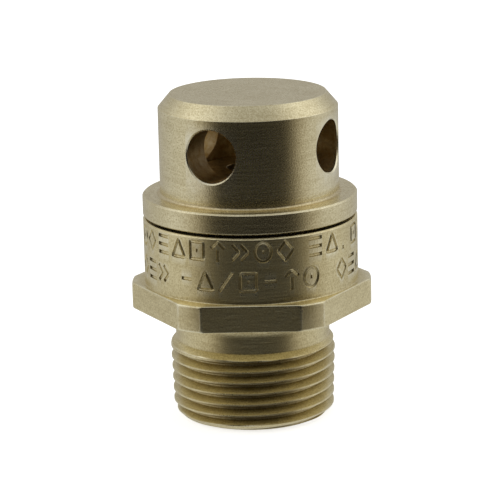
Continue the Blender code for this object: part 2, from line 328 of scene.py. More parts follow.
def noise(tree, vector, scale, detail=2.0, rough=0.5):
    return addNode(tree, "ShaderNodeTexNoise", {"Vector": vector, "Scale": scale, "Detail": detail,
                                                "Roughness": rough}).outputs[0]


def makeTurnedGrain():
    # tool lines that run round the axis on a turned side and in circles on a faced end, and fine satin speckle
    group, given, result = newShaderGroup(
        "turnedGrain", {"Line Density": 2600.0, "Line Length": 2.4, "Speckle Density": 3600.0},
        ["Lines", "Speckle", "Patches", "Height"])
    plus, times, over, most = sums(group, "ADD", "MULTIPLY", "DIVIDE", "MAXIMUM")
    parts = partsOf(group, given["Position"])
    square = plus(times(parts["X"], parts["X"]), times(parts["Y"], parts["Y"]))
    radius = most(calc(group, "SQRT", square), 0.0001)
    along = addNode(group, "ShaderNodeCombineXYZ", {
        "X": times(over(parts["X"], radius), given["Line Length"]),
        "Y": times(over(parts["Y"], radius), given["Line Length"]),
        "Z": times(parts["Z"], given["Line Density"])}).outputs[0]
    lines = addNode(group, "ShaderNodeTexNoise", {
        "Vector": along, "W": times(radius, given["Line Density"]), "Scale": 1.0, "Detail": 3.0,
        "Roughness": 0.6}, noise_dimensions="4D").outputs[0]
    speckle = noise(group, given["Position"], given["Speckle Density"], 2.0, 0.7)
    patches = noise(group, given["Position"], 190.0, 3.0, 0.55)
    height = plus(times(lines, 0.55), times(speckle, 0.45))
    for label, value in (("Lines", lines), ("Speckle", speckle), ("Patches", patches), ("Height", height)):
        group.links.new(value, result[label])
    return group


def makeMask(name, mark, rise, density, rough, noiseRange, leastCover):
    # a mark on the surface, made sharper by rise and broken up by noise
    group, given, result = newShaderGroup(name, {mark: 0.0, "Amount": 0.6}, ["Mask"])
    cover = remap(group, noise(group, given["Position"], density, 4.0, rough), *noiseRange, leastCover, 1.0)
    shown = remap(group, given[mark], *rise, 0.0, 1.0)
    mask = calc(group, "MULTIPLY", calc(group, "MULTIPLY", shown, cover), given["Amount"])
    group.links.new(mask, result["Mask"])
    return group


turnedGrain = makeTurnedGrain()
edgeWear = makeMask("edgeWear", "Edge", (0.15, 0.95), 420.0, 0.65, (0.34, 0.62), 0.25)  # bright rubbed edges
recessDirtAndShade = makeMask("recessDirtAndShade", "Recess", (0.0, 1.0), 900.0, 0.6, (0.30, 0.68), 0.45)  # dirt, and painted shade in corners, thread roots and bores


# finishes

def startMaterial(name, metallic):
    material = bpy.data.materials.new(name)
    material.use_nodes = True
    tree = material.node_tree
    shader = tree.nodes["Principled BSDF"]
    shader.inputs["Metallic"].default_value = metallic
    position = addNode(tree, "ShaderNodeTexCoord").outputs["Object"]
    edge = addNode(tree, "ShaderNodeAttribute", attribute_name="edgeMark").outputs["Fac"]
    recess = addNode(tree, "ShaderNodeAttribute", attribute_name="recessMark").outputs["Fac"]
    return material, tree, shader, position, edge, recess


def placeGroup(tree, group, inputs):
    return addNode(tree, "ShaderNodeGroup", inputs, node_tree=group).outputs


def mixColour(tree, amount, under, over, mode="MIX"):
    colours = {index: value if isinstance(value, bpy.types.NodeSocket) else (*value, 1.0)
               for index, value in ((6, under), (7, over))}
    return addNode(tree, "ShaderNodeMix", {0: amount, **colours},
                   data_type="RGBA", blend_type=mode).outputs[2]


def wornColour(tree, shader, look, colour, position, edge, recess):
    # rubbed edges, and dirt and painted shade in corners and bores, over a colour
    wear = placeGroup(tree, edgeWear, {"Position": position, "Edge": edge, "Amount": look["wear"]})["Mask"]
    dirtAndShade = placeGroup(tree, recessDirtAndShade, {"Position": position, "Recess": recess, "Amount": look["dirtAndShade"]})["Mask"]
    colour = mixColour(tree, wear, colour, look["edge"])
    tree.links.new(mixColour(tree, dirtAndShade, colour, look["dirtAndShadeColour"]), shader.inputs["Base Color"])
    return wear, dirtAndShade


def addBump(tree, shader, strength, depth, height):
    bump = addNode(tree, "ShaderNodeBump", {"Strength": strength, "Distance": depth * mm, "Height": height})
    tree.links.new(bump.outputs["Normal"], shader.inputs["Normal"])


metalSizes = {"contrast": 0.16, "recessRough": 0.25, "wearRough": 0.06, "bumpDepth": 0.055}
mouldedSizes = {"patchDensity": 260.0, "roughSpread": 0.08, "bumpDepth": 0.02}


def makeMetal(name, look):
    material, tree, shader, position, edge, recess = startMaterial(name, 1.0)
    plus, minus, times = sums(tree, "ADD", "SUBTRACT", "MULTIPLY")
    grain = placeGroup(tree, turnedGrain, {"Position": position, "Line Density": look["lineDensity"],
                                           "Line Length": look["lineLength"],
                                           "Speckle Density": look["speckleDensity"]})
    tone = plus(times(grain["Speckle"], look["speckle"]),
                plus(times(grain["Lines"], look["lines"]), times(grain["Patches"], look["patches"])))
    middle = 0.5 * (look["speckle"] + look["lines"] + look["patches"])
    shade = remap(tree, tone, middle - metalSizes["contrast"], middle + metalSizes["contrast"], 0.0, 1.0)
    colour = mixColour(tree, shade, look["darker"], look["lighter"])
    # the recess mask mixes in the dirt colour: painted shade on the metals, dust on the rubber
    wear, dirtAndShade = wornColour(tree, shader, look, colour, position, edge, recess)
    rough = remap(tree, shade, 0.0, 1.0, look["roughness"] + look["roughSpread"],
                  look["roughness"] - look["roughSpread"])
    rough = plus(rough, times(dirtAndShade, metalSizes["recessRough"]))
    rough = minus(rough, times(wear, metalSizes["wearRough"]))
    tree.links.new(rough, shader.inputs["Roughness"])
    addBump(tree, shader, look["bump"], metalSizes["bumpDepth"], grain["Height"])
    return material


def makeMoulded(name, look):
    # rubber and silicone: a fine moulded skin, dusty in patches, paler on rubbed edges
    material, tree, shader, position, edge, recess = startMaterial(name, 0.0)
    skinNoise = noise(tree, position, look["grainDensity"], 3.0, 0.6)
    patches = noise(tree, position, mouldedSizes["patchDensity"], 3.0, 0.5)
    colour = mixColour(tree, remap(tree, patches, 0.35, 0.65, 0.0, 1.0), look["darker"], look["lighter"])
    wornColour(tree, shader, look, colour, position, edge, recess)
    rough = remap(tree, skinNoise, 0.3, 0.7, look["roughness"] - mouldedSizes["roughSpread"],
                  look["roughness"] + mouldedSizes["roughSpread"])
    tree.links.new(rough, shader.inputs["Roughness"])
    addBump(tree, shader, look["bump"], mouldedSizes["bumpDepth"], skinNoise)
    return material


# each metal's dirt colour below darkens its corners, thread roots and bores: painted shade
bodyBrass = makeMetal("bodyBrass", {
    "darker": (0.60, 0.505, 0.27), "lighter": (0.86, 0.765, 0.47), "edge": (0.95, 0.90, 0.68),
    "dirtAndShadeColour": (0.22, 0.155, 0.06), "roughness": 0.33, "roughSpread": 0.05,
    "lineDensity": 2400.0, "lineLength": 2.6, "speckleDensity": 3800.0,
    "lines": 0.40, "speckle": 0.95, "patches": 0.30, "wear": 0.75, "dirtAndShade": 0.48, "bump": 0.85})
# the cap's golden-brown dirt colour at full amount is painted shade inside its ports and bore
capBrass = makeMetal("capBrass", {
    "darker": (0.62, 0.535, 0.315), "lighter": (0.88, 0.795, 0.53), "edge": (0.96, 0.92, 0.74),
    "dirtAndShadeColour": (0.46, 0.31, 0.115), "roughness": 0.27, "roughSpread": 0.05,
    "lineDensity": 2400.0, "lineLength": 2.2, "speckleDensity": 3800.0,
    "lines": 0.40, "speckle": 0.95, "patches": 0.28, "wear": 0.70, "dirtAndShade": 1.00, "bump": 0.80})
innerBrass = makeMetal("innerBrass", {
    "darker": (0.62, 0.47, 0.20), "lighter": (0.84, 0.68, 0.36), "edge": (0.94, 0.84, 0.55),
    "dirtAndShadeColour": (0.20, 0.13, 0.05), "roughness": 0.27, "roughSpread": 0.06,
    "lineDensity": 3200.0, "lineLength": 1.6, "speckleDensity": 4200.0,
    "lines": 0.75, "speckle": 0.35, "patches": 0.30, "wear": 0.55, "dirtAndShade": 0.75, "bump": 0.35})
stainless = makeMetal("stainless", {
    "darker": (0.48, 0.47, 0.455), "lighter": (0.66, 0.655, 0.64), "edge": (0.84, 0.83, 0.82),
    "dirtAndShadeColour": (0.12, 0.11, 0.09), "roughness": 0.25, "roughSpread": 0.05,
    "lineDensity": 5200.0, "lineLength": 1.5, "speckleDensity": 5200.0,
    "lines": 0.75, "speckle": 0.30, "patches": 0.25, "wear": 0.60, "dirtAndShade": 0.40, "bump": 0.25})
springSteel = makeMetal("springSteel", {
    "darker": (0.40, 0.395, 0.38), "lighter": (0.60, 0.60, 0.585), "edge": (0.80, 0.80, 0.78),
    "dirtAndShadeColour": (0.10, 0.09, 0.07), "roughness": 0.28, "roughSpread": 0.06,
    "lineDensity": 900.0, "lineLength": 9.0, "speckleDensity": 6500.0,
    "lines": 0.40, "speckle": 0.70, "patches": 0.30, "wear": 0.50, "dirtAndShade": 0.30, "bump": 0.22})
gasketRubber = makeMoulded("gasketRubber", {
    "darker": (0.016, 0.016, 0.017), "lighter": (0.040, 0.039, 0.037), "edge": (0.10, 0.098, 0.092),
    "dirtAndShadeColour": (0.085, 0.075, 0.055), "roughness": 0.66, "grainDensity": 5200.0,
    "wear": 0.5, "dirtAndShade": 0.4, "bump": 0.5})
discSilicone = makeMoulded("discSilicone", {
    "darker": (0.42, 0.060, 0.034), "lighter": (0.56, 0.105, 0.062), "edge": (0.70, 0.26, 0.18),
    "dirtAndShadeColour": (0.26, 0.10, 0.06), "roughness": 0.50, "grainDensity": 4200.0,
    "wear": 0.4, "dirtAndShade": 0.4, "bump": 0.4})
print("finishes ready")


# body: pipe thread, neck, hexagon, marked barrel and bored inside

bodySizes = {
    "columns": 360, "columnTurn": 0.56,
    "pitch": 25.4 / 14, "rowsPerPitch": 16, "firstCrest": 1.391,
    "threadEndR": 13.02, "taper": 1 / 32, "threadMaxR": 13.36, "depth": 1.40,
    "endChamferR": 11.74, "endFlatR": 11.35, "threadLow": 0.20,
    "neckR": 12.50, "neckLow": 12.90, "neckTaper": 1.0, "lastGroove": 12.45, "grooveFade": 0.60,
    "neckFillet": 2.60, "hexLow": 18.0, "hexTop": 22.3, "hexHalfFlats": 17.69, "hexTurn": -5.44,
    "hexHalfFlatAngle": 24.0, "barrelR": 17.24, "barrelFillet": 0.20, "topBevel": 0.25,
    "neckRows": (13.1, 14.4, 15.6), "filletLift": 0.25, "filletTurn": 64.6, "filletSteps": 7,
    "undersideR": 14.7, "barrelRows": (23.0, 24.6, 26.2, 27.8, 29.4, 31.0, 32.2), "barrelSteps": 4,
    "lowEdge": ((0.0, 0.12, 0.20), (0.04, 0.05, 0.12), (0.10, 0.0, 0.07), (0.22, 0.0, 0.02), (0.40, 0.0, 0.0)),
    "highEdge": ((-0.48, 0.0, 0.0), (-0.30, 0.0, 0.02), (-0.18, 0.0, 0.07), (-0.10, 0.01, 0.13),
                 (-0.05, 0.05, 0.20), (0.0, 0.14, 0.32)),  # height, then how far the flats and corners draw in
    "gasketIn": 14.3, "gasketOut": 15.7, "chamberR": 12.2, "chamberLow": 19.5, "chamberDrop": 13.4,
    "boreR": 9.8, "boreTop": 16.5, "ledge": 6.0, "inletR": 8.6}


def makeThreadTree(name, sizes):
    # a grid rolled round the pipe end, with its rows laid along the helix and its radius cut to the thread form
    tree, given, result = newShapeTree(name, sizes)
    plus, minus, times, over, least, most = allSums(tree)
    grid = addNode(tree, "GeometryNodeMeshGrid", {
        "Size X": 1.0, "Size Y": 1.0, "Vertices X": plus(given["Columns"], 1.0),
        "Vertices Y": given["Rows"]}).outputs["Mesh"]
    place = partsOf(tree, addNode(tree, "GeometryNodeInputPosition").outputs[0])
    around = plus(place["X"], 0.5)
    row = calc(tree, "ROUND", times(plus(place["Y"], 0.5), minus(given["Rows"], 1.0)))
    turns = minus(over(minus(row, 1.0), given["Rows Per Pitch"]), 2.0)
    climb = times(given["Pitch"], plus(around, turns))
    height = least(most(plus(given["First Crest"], climb), given["Low"]), given["Neck Low"])
    helix = over(minus(height, given["First Crest"]), given["Pitch"])
    phase = calc(tree, "FRACT", minus(helix, minus(around, 4.0)))
    form = remap(tree, least(phase, minus(1.0, phase)), 1.0 / 16, 7.0 / 16, 0.0, 1.0)  # 0 at crest, 1 at root
    grooveMiddle = minus(height, times(minus(phase, 0.5), given["Pitch"]))
    fade = over(minus(given["Last Groove"], grooveMiddle), given["Groove Fade"])
    cutShare = times(form, least(most(fade, 0.0), 1.0))
    tapered = plus(given["End Radius"], times(given["Taper"], height))
    crest = least(tapered, given["Most Radius"])
    cutIn = times(cutShare, minus(crest, minus(tapered, given["Depth"])))
    runOut = times(minus(given["Neck Low"], height), given["Neck Taper"])
    envelope = least(plus(given["Chamfer Radius"], height), plus(given["Neck Radius"], runOut))
    radius = least(minus(crest, cutIn), envelope)
    atEnd = calc(tree, "LESS_THAN", row, 0.5)  # the first row is the edge of the flat end face
    radius = plus(times(radius, minus(1.0, atEnd)), times(given["Flat Radius"], atEnd))
    height = times(height, minus(1.0, atEnd))
    angle = plus(times(around, math.tau), given["Column Turn"])
    point = addNode(tree, "ShaderNodeVectorMath", {0: roundAxis(tree, radius, angle, height), "Scale": mm},
                    operation="SCALE").outputs[0]
    # painted shade: the thread flanks get darker toward the roots through this mark
    depthMark = times(calc(tree, "POWER", cutShare, 1.5), 0.85)
    marked = addNode(tree, "GeometryNodeStoreNamedAttribute",
                     {"Geometry": grid, "Name": "recessMark", "Value": depthMark},
                     data_type="FLOAT", domain="POINT").outputs[0]
    joined = addNode(tree, "GeometryNodeMergeByDistance",
                     {"Geometry": moveTo(tree, marked, point), "Distance": 0.002 * mm}).outputs[0]
    return endTree(tree, joined, given["Finish"], result)


def hexLimit(sizes, inset, turnedR):
    # the hexagon's radius at an angle, drawn in by a small bevel and held inside the turned corners
    def radius(angle):
        offset = (math.degrees(angle) - sizes["hexTurn"]) % 60.0
        offset = min(offset, 60.0 - offset)
        flat = sizes["hexHalfFlats"] / math.cos(math.radians(min(offset, sizes["hexHalfFlatAngle"])))
        return min(flat - inset, turnedR)
    return radius


def bodyRows(sizes):
    # rings up the outside from the thread's top, over the barrel and down the inside to the end face
    neck, fillet = sizes["neckR"], sizes["neckFillet"]
    low, top, barrel = sizes["hexLow"], sizes["hexTop"], sizes["barrelR"]
    rows = [(neck, height) for height in (sizes["neckLow"], *sizes["neckRows"])]
    filletLow = low + sizes["filletLift"] - fillet
    for step in range(sizes["filletSteps"] + 1):
        turn = math.radians(sizes["filletTurn"] * step / sizes["filletSteps"])
        rows.append((neck + fillet * (1 - math.cos(turn)), filletLow + fillet * math.sin(turn)))
    rows.append((sizes["undersideR"], low))
    cornerR = sizes["hexHalfFlats"] / math.cos(math.radians(sizes["hexHalfFlatAngle"]))
    for start, edge in ((low, sizes["lowEdge"]), (top, sizes["highEdge"])):
        rows += [(hexLimit(sizes, inset, cornerR - drawn), start + height) for height, inset, drawn in edge]
    for step in range(sizes["barrelSteps"] + 1):
        turn = math.radians(90 * step / sizes["barrelSteps"])
        rows.append((barrel + sizes["barrelFillet"] * (1 - math.sin(turn)),
                     top + sizes["barrelFillet"] * (1 - math.cos(turn))))
    rows += [(barrel, height) for height in sizes["barrelRows"]]
    bodyTop = span("valve_body")[1]
    gasketLow = span("cap_gasket")[0] - gap
    gasketIn, gasketOut = sizes["gasketIn"], sizes["gasketOut"]
    chamber, bore, inlet, ledge = sizes["chamberR"], sizes["boreR"], sizes["inletR"], sizes["ledge"]
    chamberTop = span("seat_insert")[1] - sizes["chamberDrop"]
    inside = [(*rows[-1], 0), (barrel, bodyTop - sizes["topBevel"], 0.06),
              (barrel - sizes["topBevel"], bodyTop, 0.06), (gasketOut, bodyTop, 0.10), (gasketOut, gasketLow, 0.12),
              (gasketIn, gasketLow, 0.12), (gasketIn, chamberTop, 0.15), (chamber, chamberTop, 0.15),
              (chamber, sizes["chamberLow"], 0.5), (bore, sizes["boreTop"], 0.5), (bore, ledge, 0.15),
              (inlet, ledge, 0.12), (inlet, 0.0, 0.25), (sizes["endFlatR"], 0.0, 0)]
    return rows + softened(inside, closed=False, guard=0.2)[1:]


markSizes = {
    "stroke": 0.29,  # radius of the engraving cutter
    "radius": 17.24, "front": -64.6, "step": 0.45, "gapAdvance": 0.5,
    "rows": [
        {"low": 29.15, "height": 3.15, "advance": 3.55, "start": -24.4,
         "shapes": ["target", "diamond", "bars", "triangle", "squareDot", "arrowUp", "chevrons", "target", "diamond",
                    "gap", "bars", "triangle", "dot", "squareDot", "arrowUp"]},
        {"low": 24.35, "height": 3.25, "advance": 3.45, "start": -24.4,
         "shapes": ["diamond", "bars", "chevrons", "gap", "dash", "triangle", "slant", "squareDot", "dash", "arrowUp",
                    "target", "gap", "gap", "diamond", "bars", "triangle"]}]}


def markStrokes(shape):
    # each mark is a few plain strokes in a box one unit high
    rounded = [(0.45 + 0.40 * math.cos(math.tau * step / 20), 0.5 + 0.48 * math.sin(math.tau * step / 20))
               for step in range(20)]
    strokes = {
        "arrowUp": [([(0.45, 0.0), (0.45, 0.62)], False), ([(0.10, 0.66), (0.45, 1.0), (0.80, 0.66)], False)],
        "diamond": [([(0.45, 0.0), (0.85, 0.5), (0.45, 1.0), (0.05, 0.5)], True)],
        "bars": [([(0.05, height), (0.85, height)], False) for height in (0.08, 0.5, 0.92)],
        "triangle": [([(0.05, 0.06), (0.85, 0.06), (0.45, 0.95)], True)],
        "target": [(rounded, True), ([(0.40, 0.5), (0.50, 0.5)], False)],
        "chevrons": [([(left, 0.10), (tip, 0.5), (left, 0.90)], False) for left, tip in ((0.05, 0.42), (0.48, 0.85))],
        "squareDot": [([(0.07, 0.06), (0.83, 0.06), (0.83, 0.94), (0.07, 0.94)], True),
                      ([(0.40, 0.5), (0.50, 0.5)], False)],
        "dash": [([(0.15, 0.5), (0.75, 0.5)], False)],
        "slant": [([(0.10, 0.02), (0.75, 0.98)], False)],
        "dot": [([(0.20, 0.06), (0.32, 0.06)], False)],
        "gap": []}
    return strokes[shape]


def makeMarkTree(name, sizes):
    # lays flat strokes round the barrel and gives each a round-nosed cutter's width
    tree, given, result = newShapeTree(name, sizes)
    plus, over = sums(tree, "ADD", "DIVIDE")
    evened = addNode(tree, "GeometryNodeResampleCurve", {"Curve": given["Geometry"], "Length": given["Step"]},
                     mode="LENGTH").outputs[0]
    place = partsOf(tree, addNode(tree, "GeometryNodeInputPosition").outputs[0])
    angle = plus(over(place["X"], given["Barrel Radius"]), given["Front Angle"])
    point = roundAxis(tree, given["Barrel Radius"], angle, place["Y"])
    tubes = sweep(tree, moveTo(tree, evened, point), 8, given["Cutter Radius"])
    return endTree(tree, tubes, given["Finish"], result)


def makeMarkCutter(sizes, material):
    flat = bpy.data.curves.new("markStrokes", "CURVE")
    flat.dimensions = "3D"
    for row in sizes["rows"]:
        left = row["start"]
        for shape in row["shapes"]:
            for points, loop in markStrokes(shape):
                line = flat.splines.new("POLY")
                line.points.add(len(points) - 1)
                line.use_cyclic_u = loop
                for target, (across, up) in zip(line.points, points):
                    target.co = ((left + across * row["height"]) * mm, (row["low"] + up * row["height"]) * mm,
                                 0.0, 1.0)
            left += row["advance"] * (sizes["gapAdvance"] if shape == "gap" else 1.0)
    return toolPiece("markCutter", runTree("barrelMarks", makeMarkTree, material, {
        "Barrel Radius": sizes["radius"] * mm, "Cutter Radius": sizes["stroke"] * mm,
        "Front Angle": math.radians(sizes["front"]), "Step": sizes["step"] * mm}, placeObject("markStrokes", flat)))


def makeBody(sizes, marks, material):
    threadRows = round((sizes["neckLow"] / sizes["pitch"] + 1.6) * sizes["rowsPerPitch"]) + 2
    turn = math.radians(sizes["columnTurn"])
    shape = runTree("pipeThread", makeThreadTree, material, {
        "Columns": float(sizes["columns"]), "Column Turn": turn, "Rows": float(threadRows),
        "Rows Per Pitch": float(sizes["rowsPerPitch"]), "Pitch": sizes["pitch"],
        "First Crest": sizes["firstCrest"] + sizes["pitch"] * sizes["columnTurn"] / 360.0,
        "End Radius": sizes["threadEndR"], "Taper": sizes["taper"], "Most Radius": sizes["threadMaxR"],
        "Depth": sizes["depth"], "Chamfer Radius": sizes["endChamferR"], "Flat Radius": sizes["endFlatR"],
        "Low": sizes["threadLow"], "Neck Radius": sizes["neckR"], "Neck Low": sizes["neckLow"],
        "Neck Taper": sizes["neckTaper"], "Last Groove": sizes["lastGroove"], "Groove Fade": sizes["grooveFade"]})
    angles = evenAngles(sizes["columns"], turn)
    skin(shape, [ringRow(shape, radius, height, angles) for radius, height in bodyRows(sizes)])
    bmesh.ops.remove_doubles(shape, verts=shape.verts, dist=0.002 * mm)
    bmesh.ops.recalc_face_normals(shape, faces=shape.faces)
    shape = cutWith(shape, [makeMarkCutter(marks, material)], "body", True)
    body = finishPiece("threadedBody", shape, material)
    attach(body, "valve")
    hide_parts("valve_body")


makeBody(bodySizes, markSizes, bodyBrass)
print("body ready")


# cap with its four cross-drilled ports

capSizes = {"columns": 288, "flangeR": 17.24, "flangeBevel": 0.25, "fillet": 0.45, "sideR": 14.375,
            "chamferDrop": 2.2, "topR": 12.5, "boreR": 8.6, "boreDrop": 3.4, "spigotR": 14.0,
            "portR": 4.2, "portDrop": 7.88, "deburr": 0.22, "portSteps": 96, "flangeThick": 3.34,
            "drillOver": 3.0, "flare": 0.4, "mouth": 0.8,  # how far the drill's rings stand from the side
            "satinDepth": 0.5, "satinDrop": 1.0}  # how deep the outer finish reaches; further in, the cap is rougher and has painted shade


def makePortCutter(sizes, height, turn):
    # a drill whose outer ends flare just under the curved side, which leaves an even deburred rim
    bevel, flare, steps = sizes["deburr"], sizes["flare"], sizes["portSteps"]
    shape = bmesh.new()
    rings = []
    for side, kinds in ((-1, ("far", "flare", "bore", "deep")), (1, ("deep", "bore", "flare", "far"))):
        for kind in kinds:
            inBore = kind in ("bore", "deep")
            radius = sizes["portR"] + (0.0 if inBore else bevel + flare)
            edge = sizes["portR"] + (0.0 if inBore else bevel)
            ring = []
            for around in evenAngles(steps):
                surface = math.sqrt(sizes["sideR"] ** 2 - (edge * math.cos(around)) ** 2)
                reach = {"far": sizes["sideR"] + sizes["drillOver"], "flare": surface + flare,
                         "bore": surface - bevel, "deep": surface - sizes["mouth"]}[kind]
                ring.append(shape.verts.new((side * reach * mm, radius * math.cos(around) * mm,
                                             (height + radius * math.sin(around)) * mm)))
            rings.append(ring)
    extrude(shape, rings)
    bmesh.ops.rotate(shape, verts=shape.verts, cent=(0, 0, 0), matrix=Matrix.Rotation(turn, 3, "Z"))
    return toolPiece("portDrill", shape)


def makeCap(sizes, material):
    low, top = span("valve_cap")[:2]
    side, flangeR, bevel, boreR = sizes["sideR"], sizes["flangeR"], sizes["flangeBevel"], sizes["boreR"]
    flangeLow = span("cap_gasket")[1] + gap
    flangeTop = flangeLow + sizes["flangeThick"]
    boreTop = top - sizes["boreDrop"]
    corners = [(boreR, low, 0.2), (sizes["spigotR"], low, 0.3), (sizes["spigotR"], flangeLow, 0.12),
               (flangeR - bevel, flangeLow, 0.05), (flangeR, flangeLow + bevel, 0.06),
               (flangeR, flangeTop - bevel, 0.06), (flangeR - bevel, flangeTop, 0.06),
               (side, flangeTop, sizes["fillet"]), (side, top - sizes["chamferDrop"], 0.12),
               (sizes["topR"], top, 0.16), (0.0, top, 0), (0.0, boreTop, 0), (boreR, boreTop, 0.4)]
    shape = lathe(softened(corners), sizes["columns"])
    height = top - sizes["portDrop"]
    drills = [makePortCutter(sizes, height, 0.0), makePortCutter(sizes, height, math.pi / 2)]
    bmesh.ops.remove_doubles(shape, verts=shape.verts, dist=0.001 * mm)
    shape = cutWith(shape, drills, "cap")
    # painted shade and a rougher finish over the inside of the bore and ports
    dullAndShadeInside(shape, side - sizes["satinDepth"], top - sizes["satinDrop"], 1.0)
    cap = finishPiece("ventCap", shape, material)
    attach(cap, "valve")
    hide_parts("valve_cap")


makeCap(capSizes, capBrass)
print("cap ready")


# turned pieces inside and between

def placeTurned(name, node, corners, material, body, columns=160, closed=True, dullAndShade=0.0):
    # a turned piece from its (radius, height, rounding) corners
    shape = lathe(softened(corners, closed), columns, closed)
    # the dull amount gives the whole piece painted shade and a rougher finish
    dullAndShadeInside(shape, math.inf, math.inf, dullAndShade)
    piece = finishPiece(name, shape, material)
    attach(piece, body)
    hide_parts(node)


def boxSection(innerR, outerR, low, top, innerRound, outerRound):
    return [(innerR, low, innerRound), (outerR, low, outerRound), (outerR, top, outerRound),
            (innerR, top, innerRound)]


gasketSizes = {"innerR": 14.3, "round": 0.18}
seatSizes = {"boreR": 6.2, "flangeR": 11.0, "flangeThick": 1.2, "sleeveR": 8.3, "lipInR": 6.7, "lipOutR": 7.4,
             "lip": 0.6, "throatR": 3.6, "web": 1.4}
discSizes = {"holeR": 1.8, "round": 0.25}
holderSizes = {"holeR": 1.8, "rimInR": 8.4, "floor": 1.5, "edge": 0.25}
washerSizes = {"holeR": 1.8, "round": 0.12}
stemSizes = {"radius": 1.5, "collarR": 3.0, "collarThick": 0.8, "bevel": 0.25}


def makeInnerPieces():
    low, top, outer = span("cap_gasket")
    placeTurned("capGasket", "cap_gasket",
                boxSection(gasketSizes["innerR"], outer, low, top, gasketSizes["round"], gasketSizes["round"]),
                gasketRubber, "valve", 200)

    low, top = span("seat_insert")[:2]
    seat = seatSizes
    flangeLow = low + seat["lip"]
    flangeTop = flangeLow + seat["flangeThick"]
    webLow = top - seat["web"]
    # the whole seat insert, deep inside the valve, gets painted shade and a rougher finish
    placeTurned("seatInsert", "seat_insert", [
        (seat["boreR"], flangeLow, 0.15), (seat["lipInR"], low, 0.08), (seat["lipOutR"], low, 0.12),
        (seat["lipOutR"], flangeLow, 0.10), (seat["flangeR"], flangeLow, 0.18), (seat["flangeR"], flangeTop, 0.12),
        (seat["sleeveR"], flangeTop, 0.10), (seat["sleeveR"], top, 0.25), (seat["throatR"], top, 0.12),
        (seat["throatR"], webLow, 0.15), (seat["boreR"], webLow, 0.30)],
        innerBrass, "valve", 192, dullAndShade=1.0)

    low, top, outer = span("seal_disc")
    placeTurned("sealDisc", "seal_disc", boxSection(discSizes["holeR"], outer, low, top, 0.1, discSizes["round"]),
                discSilicone, "poppet")

    low, top, outer = span("disc_holder")
    holeR, rimInR, edge = holderSizes["holeR"], holderSizes["rimInR"], holderSizes["edge"]
    floor = low + holderSizes["floor"]
    placeTurned("discHolder", "disc_holder", [
        (holeR, low, 0.1), (outer - edge, low, 0.08), (outer, low + edge, 0.08), (outer, top, 0.15),
        (rimInR, top, 0.12), (rimInR, floor, 0.15), (holeR, floor, 0.1)], innerBrass, "poppet")

    low, top, outer = span("disc_washer")
    placeTurned("discWasher", "disc_washer",
                boxSection(washerSizes["holeR"], outer, low, top, 0.06, washerSizes["round"]),
                stainless, "poppet")

    low, top = span("poppet_stem")[:2]
    radius, bevel, collarR = stemSizes["radius"], stemSizes["bevel"], stemSizes["collarR"]
    collarTop = span("disc_holder")[0] - gap
    collarLow = collarTop - stemSizes["collarThick"]
    placeTurned("poppetStem", "poppet_stem", [
        (0.0, low, 0), (radius - bevel, low, 0.06), (radius, low + bevel, 0.06), (radius, collarLow, 0.12),
        (collarR, collarLow, 0.12), (collarR, collarTop, 0.12), (radius, collarTop, 0.1),
        (radius, top - bevel, 0.06), (radius - bevel, top, 0.06), (0.0, top, 0)],
        stainless, "poppet", 96, False)


makeInnerPieces()
print("turned pieces ready")


# nut, clip and guide

nutSizes = {"columns": 180, "halfFlats": 2.75, "halfFlatAngle": 27.0, "holeR": 1.8, "chamfer": 0.22, "lead": 0.15}
clipSizes = {"innerR": 1.8, "mouth": 70.0, "round": 0.12, "steps": 60}
guideSizes = {"boreR": 1.56, "web": 2.5, "hubR": 3.0, "ringInR": 8.2, "spokes": 4, "spokeWidth": 2.4, "hubGap": 0.6,
              "windowOver": 1.0, "ringSteps": 24, "hubSteps": 10}


def makeNut(sizes, material):
    low, top = span("disc_nut")[:2]
    hexSizes = {"hexTurn": 0.0, "hexHalfFlats": sizes["halfFlats"], "hexHalfFlatAngle": sizes["halfFlatAngle"]}
    cornerR = sizes["halfFlats"] / math.cos(math.radians(sizes["halfFlatAngle"]))
    drop, holeR, lead = sizes["chamfer"], sizes["holeR"], sizes["lead"]
    cone = [(hexLimit(hexSizes, 0.05, cornerR - drop - 0.05), 0.0), (hexLimit(hexSizes, 0.0, cornerR - drop), 0.04),
            (hexLimit(hexSizes, 0.0, cornerR), drop)]  # the turned chamfer on each face of the hexagon
    rows = [(holeR + lead, low)] + [(radius, low + height) for radius, height in cone]
    rows += [(radius, top - height) for radius, height in reversed(cone)]
    rows += [(holeR + lead, top), (holeR, top - lead), (holeR, low + lead)]
    shape = bmesh.new()
    skin(shape, [ringRow(shape, radius, height, evenAngles(sizes["columns"])) for radius, height in rows], True)
    nut = finishPiece("discNut", shape, material)
    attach(nut, "poppet")
    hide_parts("disc_nut")


def makeClip(sizes, material):
    low, top, outer = span("stem_clip")
    section = softened(boxSection(sizes["innerR"], outer, low, top, sizes["round"], sizes["round"]))
    shape = bmesh.new()
    half = math.radians(sizes["mouth"] / 2)
    angles = [half + (math.tau - 2 * half) * step / sizes["steps"] for step in range(sizes["steps"] + 1)]
    extrude(shape, [[pointAt(shape, radius, angle, height) for radius, height in section] for angle in angles])
    clip = finishPiece("stemClip", shape, material)
    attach(clip, "poppet")
    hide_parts("stem_clip")


